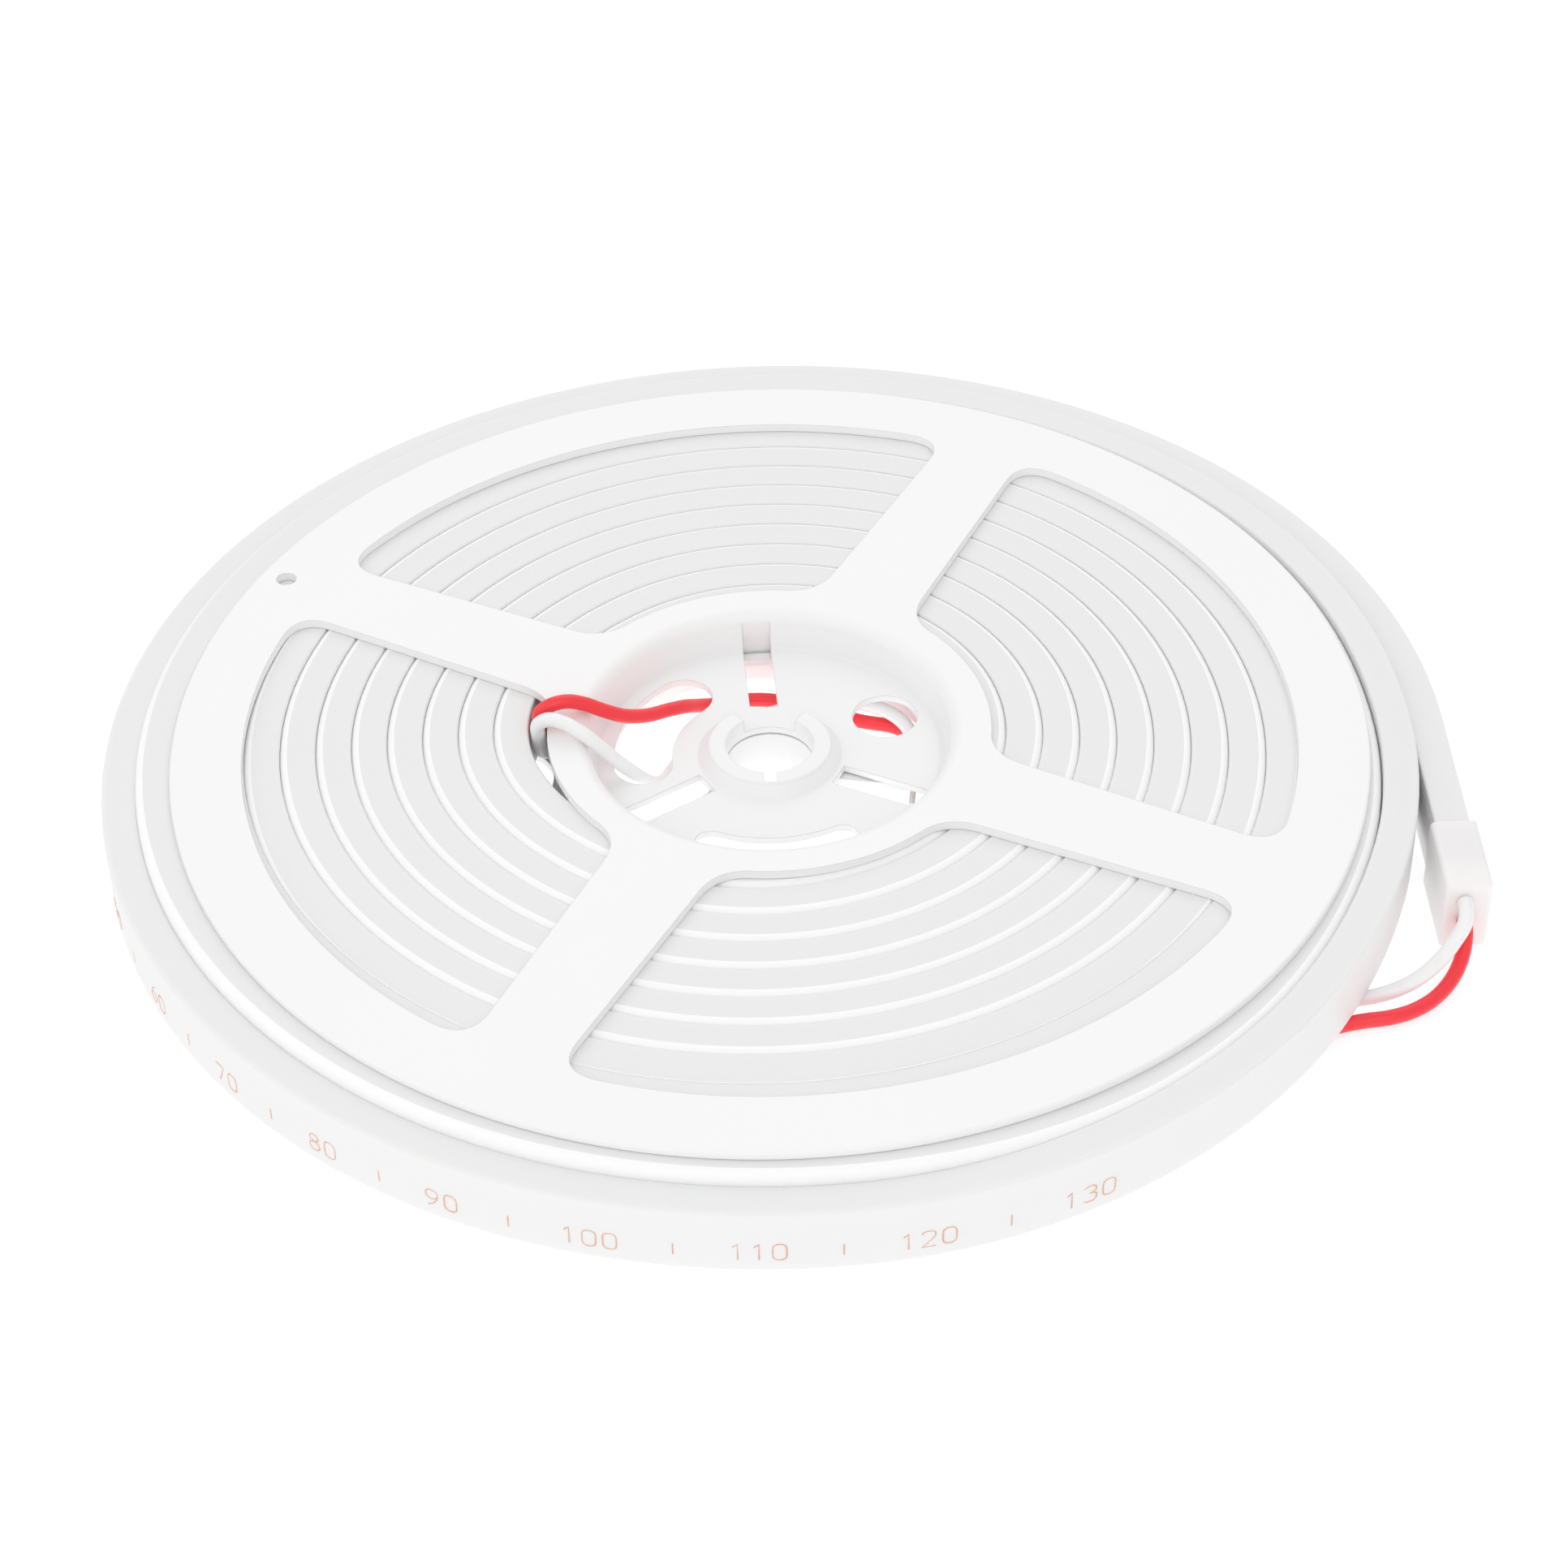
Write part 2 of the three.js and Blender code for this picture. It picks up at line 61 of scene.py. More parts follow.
INNER_WHITE = [
    (-0.0295, 0.0106, 0.0053), (-0.0312, 0.0081, 0.0052), (-0.0329, 0.0054, 0.0056), (-0.0340, 0.0029, 0.0073),
    (-0.0344, 0.0011, 0.0099), (-0.0345, 0.0001, 0.0128), (-0.0344, -0.0003, 0.0151), (-0.0328, -0.0007, 0.0164),
    (-0.0304, -0.0016, 0.0164), (-0.0278, -0.0028, 0.0154), (-0.0254, -0.0035, 0.0135), (-0.0226, -0.0042, 0.0109),
    (-0.0200, -0.0044, 0.0086), (-0.0180, -0.0036, 0.0063), (-0.0163, -0.0012, 0.0044), (-0.0149, 0.0028, 0.0032),
    (-0.0124, 0.0080, 0.0028), (-0.0076, 0.0129, 0.0029), (-0.0010, 0.0154, 0.0034), (0.0070, 0.0167, 0.0042),
    (0.0140, 0.0168, 0.0043), (0.0190, 0.0140, 0.0042), (0.0217, 0.0094, 0.0039), (0.0221, 0.0044, 0.0028),
    (0.0217, 0.0006, 0.0017),
]
OUTER_WHITE = [
    (0.0987, -0.03695, 0.0092), (0.0987, -0.0385, 0.0091), (0.0982, -0.0405, 0.0080), (0.0969, -0.0420, 0.0066),
    (0.0951, -0.0439, 0.0054), (0.0926, -0.0460, 0.0043), (0.0898, -0.0475, 0.0033), (0.0869, -0.0482, 0.0024),
    (0.0842, -0.0483, 0.0016), (0.0824, -0.04835, 0.0013), (0.0809, -0.0485, 0.0012), (0.0796, -0.0489, 0.0012),
    (0.0784, -0.0496, 0.0012), (0.0774, -0.0506, 0.0012), (0.0767, -0.0518, 0.0012),
]
OUTER_RED = [
    (0.0989, -0.03695, 0.0056), (0.0989, -0.0386, 0.0055), (0.0985, -0.0410, 0.0042), (0.0974, -0.0436, 0.0028),
    (0.0956, -0.0463, 0.0019), (0.0930, -0.0489, 0.00135), (0.0899, -0.0509, 0.0012), (0.0866, -0.0521, 0.0012),
    (0.0834, -0.0526, 0.0012), (0.0807, -0.0532, 0.0012), (0.0784, -0.0539, 0.0012), (0.0763, -0.0549, 0.0012),
    (0.0742, -0.0563, 0.0012), (0.0719, -0.0582, 0.0012), (0.0696, -0.0604, 0.0012),
]

# Sizes that the two mouldings share, in metres
STRIP_CLEARANCE = 0.0003  # between the strip and each flange
HALF_GAP = 0.00015  # from the middle plane to each half's hub floor
HUB_FLOOR = 0.0011
DRAFT = 0.0011  # how much wider a well is at its rim
EDGE = 0.0004
RIM_ROUND = 0.0024
COLLAR_STEP = 0.00075
COLLAR_DEPTH = 0.00145
LAP_CLEARANCE = 0.0003
KEYWAY = {"outer": 0.0089, "width": 0.0018, "degrees": 270}
PAST = 0.001  # how far a cutter reaches past the plastic

# Single strokes of the printed figures, on a cell one wide and CELL_HEIGHT high
CELL_HEIGHT = 1.6
FIGURES = {
    "0": [[(0.3, 0), (0.7, 0), (0.93, 0.15), (1, 0.45), (1, 1.15), (0.93, 1.45), (0.7, 1.6), (0.3, 1.6),
           (0.07, 1.45), (0, 1.15), (0, 0.45), (0.07, 0.15), (0.3, 0)]],
    "1": [[(0.2, 1.3), (0.55, 1.6), (0.55, 0)]],
    "2": [[(0, 1.3), (0.1, 1.5), (0.35, 1.6), (0.7, 1.6), (0.95, 1.45), (1, 1.15), (0.85, 0.85), (0, 0), (1, 0)]],
    "3": [[(0, 1.45), (0.3, 1.6), (0.7, 1.6), (0.95, 1.4), (0.95, 1.05), (0.7, 0.87), (0.45, 0.85)],
          [(0.7, 0.87), (1, 0.65), (1, 0.25), (0.75, 0), (0.3, 0), (0, 0.15)]],
    "4": [[(0.75, 0), (0.75, 1.6), (0, 0.5), (1, 0.5)]],
    "5": [[(0.95, 1.6), (0.12, 1.6), (0.05, 0.92), (0.35, 1.03), (0.7, 1), (0.97, 0.78), (1, 0.35), (0.8, 0.08),
           (0.5, 0), (0.2, 0), (0, 0.15)]],
    "6": [[(0.85, 1.6), (0.45, 1.4), (0.12, 0.95), (0, 0.5), (0.1, 0.15), (0.35, 0), (0.7, 0), (0.95, 0.2),
           (1, 0.55), (0.85, 0.85), (0.55, 0.95), (0.2, 0.85), (0.03, 0.6)]],
    "7": [[(0, 1.6), (1, 1.6), (0.35, 0)]],
    "8": [[(0.5, 0.87), (0.15, 1.03), (0.08, 1.35), (0.3, 1.6), (0.7, 1.6), (0.92, 1.35), (0.85, 1.03),
           (0.5, 0.87), (0.1, 0.68), (0, 0.3), (0.25, 0), (0.75, 0), (1, 0.3), (0.9, 0.68), (0.5, 0.87)]],
    "9": [[(0.15, 0), (0.55, 0.2), (0.88, 0.65), (1, 1.1), (0.9, 1.45), (0.65, 1.6), (0.3, 1.6), (0.05, 1.4),
           (0, 1.05), (0.15, 0.75), (0.45, 0.65), (0.8, 0.75), (0.97, 1)]],
    "|": [[(0.5, 0.25), (0.5, 1.35)]],
}


def length(name, description, default):
    """A property in metres."""
    return FloatProperty(name=name, description=description, default=default, unit="LENGTH", precision=4)


def colour(name, description, default):
    return FloatVectorProperty(name=name, description=description, default=default, subtype="COLOR", min=0, max=1)


class ReelSizes(bpy.types.PropertyGroup):
    """Sizes of the two moulded halves."""

    flange_radius: length("Flange radius", "From the axis to the flange's edge", 0.089)
    flange_thickness: length("Flange thickness", "Thickness of each flange", 0.0014)
    drum_radius: length("Drum radius", "Outside of the drum's wall", 0.0276)
    drum_wall: length("Drum wall", "Thickness of the drum's wall", 0.0018)
    bore_radius: length("Bore radius", "The hole for a spindle", 0.0065)
    boss_radius: length("Boss radius", "Outside of the ring round the bore", 0.0093)
    window_inner: length("Window inner radius", "Inner edge of the flange's windows", 0.03315)
    window_outer: length("Window outer radius", "Outer edge of the flange's windows", 0.0784)
    segments: IntProperty(name="Segments", description="Faces round a turned surface",
                          default=192, min=48, max=512)


class StripSizes(bpy.types.PropertyGroup):
    """Sizes of the silicone strip and of its winding."""

    thickness: length("Thickness", "From the strip's back to its diffuser", 0.0052)
    height: length("Height", "Width of the strip, which stands on edge", 0.0107)
    corner: length("Diffuser corner", "Rounding of the diffuser's two edges", 0.00115)
    pitch: length("Pitch", "How far each turn lies outside the last", 0.0055)
    first_radius: length("First radius", "Outside of the first turn", 0.0356)
    steps_per_turn: IntProperty(name="Steps per turn", description="Rings of the mesh in each turn",
                                default=144, min=36, max=360)
    print_height: length("Print height", "Height of the printed figures", 0.0029)
    print_text: StringProperty(name="Print", description="Plain numbers and ticks along the outer face",
                               default="50  |  60  |  70  |  80  |  90  |  100  |  110  |  120  |  130")


class LeadSizes(bpy.types.PropertyGroup):
    """Sizes of the leads and end caps."""

    diameter: length("Lead diameter", "Outside of a lead's insulation", 0.0022)
    tip: length("Bare tip", "Length of tinned wire at a lead's end", 0.004)
    cap_width: length("Cap width", "Width of the outer end cap", 0.0068)
    cap_height: length("Cap height", "Height of the outer end cap", 0.0122)
    cap_length: length("Cap length", "Length of the outer end cap", 0.0138)


class Finishes(bpy.types.PropertyGroup):
    """Colours of the materials."""

    moulding: colour("Moulding", "Colour of the reel's plastic", (0.93, 0.93, 0.93))
    silicone: colour("Silicone", "Colour of the strip's sides", (0.83, 0.832, 0.83))
    diffuser: colour("Diffuser", "Colour of the strip's lit face", (0.85, 0.85, 0.85))
    # Painted highlight: a paler diffuser colour painted on the covered turns, so the bands in the windows look
    # lit.
    diffuser_painted_light: colour("Diffuser edge", "Colour of the lit face between covered turns", (0.95, 0.95, 0.95))
    cap: colour("Cap", "Colour of the milky end caps", (0.91, 0.89, 0.885))
    red: colour("Red lead", "Colour of the red insulation", (0.96, 0.035, 0.05))
    white: colour("White lead", "Colour of the white insulation", (0.92, 0.92, 0.92))
    ink: colour("Ink", "Colour of the printed figures", (0.75, 0.3, 0.13))
    floor: colour("Floor", "Colour of the studio floor", (0.45, 0.45, 0.45))


# Selection and mesh helpers

def deselect():
    if bpy.context.object and bpy.context.object.mode != "OBJECT":
        bpy.ops.object.mode_set(mode="OBJECT")
    bpy.ops.object.select_all(action="DESELECT")


def pick(piece):
    deselect()
    piece.select_set(True)
    bpy.context.view_layer.objects.active = piece


def outline_ring(name, points, filled):
    """A ring of edges, or a filled face, whose corners are put on the given points."""
    deselect()
    fill = "NGON" if filled else "NOTHING"
    bpy.ops.mesh.primitive_circle_add(vertices=len(points), radius=1, fill_type=fill)
    ring = bpy.context.object
    ring.name = ring.data.name = name
    ring.data.vertices.foreach_set("co", np.array(points, np.float32).ravel())
    ring.data.update()
    return ring


def turn_about_hub(name, profile, segments):
    """A closed profile of (radius, height) spun about the hub's axis into a shell."""
    points = [(HUB.x + radius, HUB.y, height) for radius, height in profile]
    shell = outline_ring(name, points, False)
    bpy.ops.object.mode_set(mode="EDIT")
    bpy.ops.mesh.select_all(action="SELECT")
    bpy.ops.mesh.spin(steps=segments, angle=2 * math.pi, center=HUB, axis=(0, 0, 1))
    bpy.ops.mesh.select_all(action="SELECT")
    bpy.ops.mesh.remove_doubles(threshold=1e-6)
    bpy.ops.mesh.normals_make_consistent(inside=False)
    bpy.ops.object.mode_set(mode="OBJECT")
    return shell


def prism(outline, low, high):
    """A cutter: a flat outline about the hub's axis, drawn up between two heights."""
    points = [(HUB.x + x, HUB.y + y, low) for x, y in outline]
    cutter = outline_ring("cutter", points, True)
    bpy.ops.object.mode_set(mode="EDIT")
    bpy.ops.mesh.select_all(action="SELECT")
    bpy.ops.mesh.extrude_region_move(TRANSFORM_OT_translate={"value": (0, 0, high - low)})
    bpy.ops.mesh.select_all(action="SELECT")
    bpy.ops.mesh.normals_make_consistent(inside=False)
    bpy.ops.object.mode_set(mode="OBJECT")
    return cutter


def cut(piece, cutters):
    """Take the cutters out of a piece, one after another, and delete them."""
    for cutter in cutters:
        pick(piece)
        bpy.ops.object.modifier_add(type="BOOLEAN")
        hole = piece.modifiers[-1]
        hole.operation = "DIFFERENCE"
        hole.solver = "EXACT"
        hole.object = cutter
        bpy.ops.object.modifier_apply(modifier=hole.name)
        bpy.data.objects.remove(cutter)


def finish_shading(piece, angle=30.0):
    pick(piece)
    bpy.ops.object.shade_smooth_by_angle(angle=math.radians(angle))
    bpy.ops.object.modifier_add(type="WEIGHTED_NORMAL")
    even = piece.modifiers[-1]
    even.keep_sharp = True
    bpy.ops.object.modifier_apply(modifier=even.name)


def dress(piece, material, node):
    """Give a piece its material, hang it on the root body and hide the CAD solid that it stands for."""
    piece.data.materials.clear()
    piece.data.materials.append(material)
    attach(piece, "root")
    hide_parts(node)


# Plane outlines about the hub's axis

def polar(radius, degrees):
    return (radius * math.cos(math.radians(degrees)), radius * math.sin(math.radians(degrees)))


def arc(centre, radius, start, end, steps):
    return [tuple(c + o for c, o in zip(centre, polar(radius, start + (end - start) * i / steps)))
            for i in range(steps + 1)]


def bend(start, corner, end, steps):
    """Points of a quadratic curve, without its first point."""
    points = []
    for i in range(1, steps + 1):
        t = i / steps
        near, middle, far = (1 - t) ** 2, 2 * t * (1 - t), t * t
        points.append(tuple(near * a + middle * b + far * c for a, b, c in zip(start, corner, end)))
    return points


def window(inner, outer, start, end, half_inside, half_outside, round_inside, round_outside):
    """A window between two spokes, with rounded corners."""
    inside = math.degrees(math.asin(half_inside / inner))
    outside = math.degrees(math.asin(half_outside / outer))
    trim_in = math.degrees(round_inside / inner)
    trim_out = math.degrees(round_outside / outer)
    a, b = Vector(polar(inner, start + inside)), Vector(polar(outer, start + outside))
    c, d = Vector(polar(outer, end - outside)), Vector(polar(inner, end - inside))
    first = a + (b - a).normalized() * round_inside
    second = b - (b - a).normalized() * round_outside
    third = c + (d - c).normalized() * round_outside
    fourth = d - (d - c).normalized() * round_inside
    far = arc((0, 0), outer, start + outside + trim_out, end - outside - trim_out, 40)
    near = arc((0, 0), inner, end - inside - trim_in, start + inside + trim_in, 24)
    points = [tuple(first), tuple(second)]
    points += bend(second, b, far[0], 10) + far[1:]
    points += bend(far[-1], c, third, 10) + [tuple(fourth)]
    points += bend(fourth, d, near[0], 10) + near[1:]
    points += bend(near[-1], a, first, 10)[:-1]
    return points


def bent_slot(radius, half, start, end):
    """A slot bent round the axis, with round ends."""
    points = arc((0, 0), radius + half, start, end, 20)
    points += arc(polar(radius, end), half, end, end + 180, 12)[1:]
    points += arc((0, 0), radius - half, end, start, 20)[1:]
    points += arc(polar(radius, start), half, start + 180, start + 360, 12)[1:-1]
    return points


def radial_bar(inner, outer, width, degrees):
    """A straight bar that points away from the axis."""
    out, side = Vector(polar(1, degrees)), Vector(polar(1, degrees + 90))
    return [tuple(out * r + side * s) for r, s in
            ((inner, -width / 2), (outer, -width / 2), (outer, width / 2), (inner, width / 2))]


def disc(radius, degrees, size, steps):
    return arc(polar(radius, degrees), size, 0, 360, steps)[:-1]


# Path of the strip

def smoothstep(value, low, high):
    t = min(1.0, max(0.0, (value - low) / (high - low)))
    return t * t * (3 - 2 * t)


def plateau(value, low, level, fall, end):
    """0, then a smooth rise to 1 between low and level, and back to 0 between fall and end."""
    return smoothstep(value, low, level) * (1 - smoothstep(value, fall, end))


def hump(value, middle, half):
    """A smooth rise from 0 to 1 and back, round a middle."""
    away = abs(value - middle)
    return math.cos(math.radians(away / half * 90)) ** 2 if away < half else 0.0


class Winding:
    """The strip's middle line by winding angle, clockwise and outwards, in metres about the hub's axis.

    Angle 0 is at three o'clock. The flanges cover the turns up to the angle `last`. From there the
    strip climbs over the leads, comes down to the table, and leaves straight at `tail_angle`.
    """

    last = 3960.0
    tail_angle = 4320.0
    whole_angle = 4480.0
    tail_length = 0.0309
    tail_way = Vector((0.02, -1)).normalized()
    # Heights of the underside
    over_leads, on_table, in_cap = 0.0027, 0.00005, 0.00075
    # How far the turns' centre lies off the axis
    shift_back, shift_back_per_turn, shift_left = 0.0026, 0.00015, 0.0005
    # The bulge over the inner leads, which fades outwards
    bulge, bulge_angle, bulge_half, bulge_turns = 0.00245, 178, 55, 13
    # The inner end's tuck towards the drum
    tuck, tuck_end = 0.00185, -60
    # The diffuser's corners
    corner_change, free_corner, pressed_corner = 0.0003, 0.0006, 0.00015
    pressed_stretch = (2530, 2570, 2660, 2700)
    # How turns press on each other and on the flange
    top_press, side_press, seam = 0.00026, 0.00001, 0.00022

    def __init__(self, sizes, floor):
        self.sizes = sizes
        self.floor = floor
        turns = self.tail_angle / 360
        self.tail_radius = sizes.first_radius + sizes.pitch * turns - self.shift_left - sizes.thickness / 2
        self.end = self.tail_angle + math.degrees(self.tail_length / self.tail_radius)
        self.start = self.end - self.whole_angle

    def base(self, angle):
        """Height of the strip's underside."""
        onto = smoothstep(angle, self.last - 110, self.last) * (self.over_leads - self.floor)
        down = smoothstep(angle, self.last + 45, self.last + 85) * (self.over_leads - self.on_table)
        up = smoothstep(angle, self.last + 240, self.tail_angle) * (self.in_cap - self.on_table)
        return self.floor + onto - down + up

    def radius(self, angle):
        """Distance of the strip's middle from the axis."""
        turn = angle / 360
        facing = math.radians(-angle)
        back = (self.shift_back - self.shift_back_per_turn * turn) * math.sin(facing)
        left = -self.shift_left * math.cos(facing)
        offset = (-angle - self.bulge_angle + 540) % 360 - 180
        near = math.cos(math.radians(offset / self.bulge_half * 90))
        over = abs(offset) < self.bulge_half and angle > 0
        bulge = self.bulge * (1 - turn / self.bulge_turns) * near * near if over else 0.0
        tuck = self.tuck * (1 - smoothstep(angle, self.start, self.tuck_end))
        middle = self.sizes.first_radius + self.sizes.pitch * turn - self.sizes.thickness / 2
        return middle + back + left + bulge - tuck + self.slack(angle)

    def slack(self, angle):
        """How far the last two turns stand off at the front, where no flange holds them."""
        free = angle - self.last
        covered = free + 360
        slack = 0.0008 * plateau(free, -10, 20, 70, 105) + 0.0015 * hump(free, 53, 35)
        return slack + 0.0007 * (plateau(covered, -5, 25, 85, 115) + hump(covered, 60, 35))

    def corner(self, angle):
        """Rounding of the diffuser's edge, which shows widest at the front and closes on one pressed turn."""
        if angle > self.last:
            return self.free_corner
        corner = self.sizes.corner - self.corner_change * math.sin(math.radians(-angle))
        corner += (self.free_corner - corner) * smoothstep(angle, self.last - 60, self.last)
        return corner + (self.pressed_corner - corner) * plateau(angle, *self.pressed_stretch)

    def point(self, angle):
        """The middle of the strip's section, on the winding or on the straight tail."""
        turning = min(angle, self.tail_angle)
        place = Vector(polar(self.radius(turning), -turning))
        place += self.tail_way * (math.radians(angle - turning) * self.tail_radius)
        return Vector((HUB.x + place.x, HUB.y + place.y, self.base(angle) + self.sizes.height / 2))

    def swell(self, angle):
        """How far the pressed diffuser bulges out to the next turn, but for a thin seam at the right."""
        gap = self.radius(angle + 360) - self.radius(angle) - self.sizes.thickness
        past = angle - self.last + 360
        seam = self.seam * plateau(past, -30, -5, 45, 70)
        return max(0.0, gap + self.side_press - seam) * (1 - smoothstep(past, 180, 220))

    def rise(self, angle):
        """How far the covered turns' top is pressed up to the flange."""
        return self.top_press * (1 - smoothstep(angle, self.last - 110, self.last - 20))

    def frame_at(self, angle):
        """The middle point and the level direction out of the diffuser's face."""
        here = self.point(angle)
        way = (self.point(angle + 0.2) - self.point(angle - 0.2)).to_2d().normalized()
        return here, Vector((-way.y, way.x, 0))


def winding():
    scene = bpy.context.scene
    return Winding(scene.strip_sizes, scene.reel_sizes.flange_thickness + STRIP_CLEARANCE)


def strip_section(thickness, height, corner, nip=0.0002):
    """Points of the strip's section: across is out of the diffuser, up is along the reel's axis."""
    half, out = height / 2, thickness / 2
    points = [(-out, -half + nip), (-out + nip, -half)]
    points += arc((out - corner, -half + corner), corner, -90, 0, 6)
    points += arc((out - corner, half - corner), corner, 0, 90, 6)
    points += [(-out + nip, half), (-out, half - nip)]
    return points


# Shader helpers

class Value:
    """A socket in an expression: each operator adds its Math node."""

    def __init__(self, paint, socket):
        self.paint = paint
        self.socket = socket

    def math(self, operation, first, second=0.0):
        return self.paint.value("ShaderNodeMath", {"operation": operation}, [first, second])

    def __add__(self, other):
        return self.math("ADD", self, other)

    def __radd__(self, other):
        return self.math("ADD", other, self)

    def __mul__(self, other):
        return self.math("MULTIPLY", self, other)

    def __rmul__(self, other):
        return self.math("MULTIPLY", other, self)


class Paint:
    """A material whose nodes are added one call at a time."""

    def __init__(self, name):
        self.material = bpy.data.materials.new(name)
        self.material.use_nodes = True
        self.nodes = self.material.node_tree.nodes
        self.links = self.material.node_tree.links
        self.shader = self.nodes["Principled BSDF"]

    def node(self, kind, settings=None, sockets=None):
        node = self.nodes.new(kind)
        for key, value in (settings or {}).items():
            setattr(node, key, value)
        items = sockets.items() if isinstance(sockets, dict) else enumerate(sockets or [])
        for key, value in items:
            self.put(node.inputs[key], value)
        return node

    def value(self, kind, settings=None, sockets=None, out=0):
        return Value(self, self.node(kind, settings, sockets).outputs[out])

    def put(self, socket, value):
        if isinstance(value, Value):
            self.links.new(value.socket, socket)
        else:
            socket.default_value = value

    def places(self):
        return self.value("ShaderNodeTexCoord", out="Object")

    def noise(self, scale, detail=2.0, roughness=0.5, places=None):
        sockets = {"Vector": places or self.places(), "Scale": scale, "Detail": detail, "Roughness": roughness}
        return self.value("ShaderNodeTexNoise", None, sockets, "Fac")

    def span(self, value, low, high):
        """0 where the value is low, 1 where it is high."""
        sockets = {"Value": value, "From Min": low, "From Max": high}
        return self.value("ShaderNodeMapRange", None, sockets, "Result")

    def mix(self, factor, first, second):
        node = self.node("ShaderNodeMix", {"data_type": "RGBA"})
        for index, value in ((0, factor), (6, first), (7, second)):
            self.put(node.inputs[index], value)
        return Value(self, node.outputs[2])

    def bump(self, height, distance, strength=1.0, edge=0.0):
        sockets = {"Height": height, "Distance": distance, "Strength": strength}
        if edge:
            sockets["Normal"] = self.value("ShaderNodeBevel", {"samples": 4}, {"Radius": edge})
        return self.value("ShaderNodeBump", None, sockets, "Normal")

    def set(self, **inputs):
        for key, value in inputs.items():
            self.put(self.shader.inputs[key.replace("_", " ")], value)


def rgba(colour, factor=1.0):
    return tuple(min(1.0, c * factor) for c in colour) + (1.0,)


def moulded_plastic():
    """White moulded plastic: faint flow marks, a fine skin and softly rounded edges.

    It is painted a little greyer low down, in the wells and on the bottom half, as painted shade.
    """
    colour = bpy.context.scene.finishes.moulding
    paint = Paint("moulded_plastic")
    flow = paint.noise(22.0, 4.0, 0.55)
    skin = paint.noise(2600.0, 2.0)
    height = paint.value("ShaderNodeSeparateXYZ", None, [paint.places()], "Z")
    # Painted shade: below 9 mm (the wells, the hub floor and the whole bottom half) the colour is 5% darker,
    # fading out up to 13 mm.
    unshaded_above_well = paint.span(height, 0.009, 0.013)
    surface = paint.mix(flow, rgba(colour, 0.985), rgba(colour, 1.012))
    paint.set(
        Base_Color=paint.mix(unshaded_above_well, rgba(colour, 0.95), surface),
        Roughness=0.34 + 0.1 * flow + 0.04 * skin,
        Specular_IOR_Level=0.45,
        Normal=paint.bump(skin, 0.00002, 0.35, edge=0.00025),
    )
    return paint.material


def silicone(name, colour, cloud, edge=None):
    """Milky silicone: a cloudy body, a dusty skin and fine drawing lines along the strip.

    With an edge colour, the parts that the mesh marks as covered turns get that paler colour as a painted
    highlight and a faint painted glow.
    """
    paint = Paint(name)
    body = paint.noise(60.0, 3.0, 0.6)
    dust = paint.noise(1500.0, 2.0)
    along = paint.value("ShaderNodeAttribute", {"attribute_name": "lay"}, None, "Vector")
    drawn = paint.noise(1.0, 2.0, 0.5, along)
    tint = paint.mix(body, rgba(colour, 1 - cloud), rgba(colour, 1 + cloud))
    paint.set(
        Base_Color=tint,
        Roughness=0.36 + 0.12 * body + 0.05 * dust,
        Specular_IOR_Level=0.4,
        Subsurface_Weight=0.25,
        Subsurface_Radius=(0.0016, 0.0015, 0.0014),
        Subsurface_Scale=1.0,
        Normal=paint.bump(drawn * 0.7 + dust * 0.3, 0.00006, 0.4),
    )
    # Painted light: the covered turns are painted paler and given a faint glow, though the silicone is no lamp.
    if edge:
        covered = paint.value("ShaderNodeAttribute", {"attribute_name": "covered"}, None, "Fac")
        paint.set(
            Base_Color=paint.mix(covered, tint, rgba(edge)),
            Emission_Color=paint.mix(covered, (0, 0, 0, 1), (1, 1, 1, 1)),
            Emission_Strength=0.035,
        )
    return paint.material


def insulation(name, colour):
    """Smooth lead insulation with slight drawing marks."""
    paint = Paint(name)
    marks = paint.noise(420.0, 3.0, 0.6)
    paint.set(
        Base_Color=paint.mix(marks, rgba(colour, 0.95), rgba(colour, 1.04)),
        Roughness=0.3 + 0.14 * marks,
        Specular_IOR_Level=0.5,
        Coat_Weight=0.12,
        Coat_Roughness=0.25,
        Normal=paint.bump(marks, 0.00004, 0.4),
    )
    return paint.material


def printed_ink():
    """Light orange ink, thinner in places as jet printing leaves it."""
    colour = bpy.context.scene.finishes.ink
    paint = Paint("printed_ink")
    thin = paint.noise(2400.0, 2.0)
    paint.set(
        Base_Color=paint.mix(thin, rgba(colour), (0.86, 0.62, 0.5, 1)),
        Roughness=0.5 + 0.1 * thin,
        Normal=paint.bump(thin, 0.00001, 0.3),
    )
    return paint.material


def tinned_wire():
    """Twisted, tinned copper."""
    paint = Paint("tinned_wire")
    strands = paint.noise(1800.0, 2.0)
    paint.set(
        Base_Color=paint.mix(strands, (0.55, 0.54, 0.52, 1), (0.78, 0.77, 0.75, 1)),
        Metallic=1.0,
        Roughness=0.28 + 0.2 * strands,
        Normal=paint.bump(strands, 0.00005, 0.6),
    )
    return paint.material


def studio_floor():
    """A pale light table that glows below the hub, so that the openings show it white."""
    colour = bpy.context.scene.finishes.floor
    paint = Paint("studio_floor")
    grain = paint.noise(40.0, 2.0)
    away = paint.value("ShaderNodeVectorMath", {"operation": "DISTANCE"}, [paint.places(), tuple(HUB)], "Value")
    glow = paint.span(away, 0.03, 0.08)
    paint.set(
        Base_Color=paint.mix(grain, rgba(colour, 0.995), rgba(colour, 1.005)),
        Roughness=0.85,
        Emission_Color=paint.mix(glow, (1, 1, 1, 1), (0.72, 0.72, 0.72, 1)),
        Emission_Strength=0.95,
    )
    return paint.material


# Leads

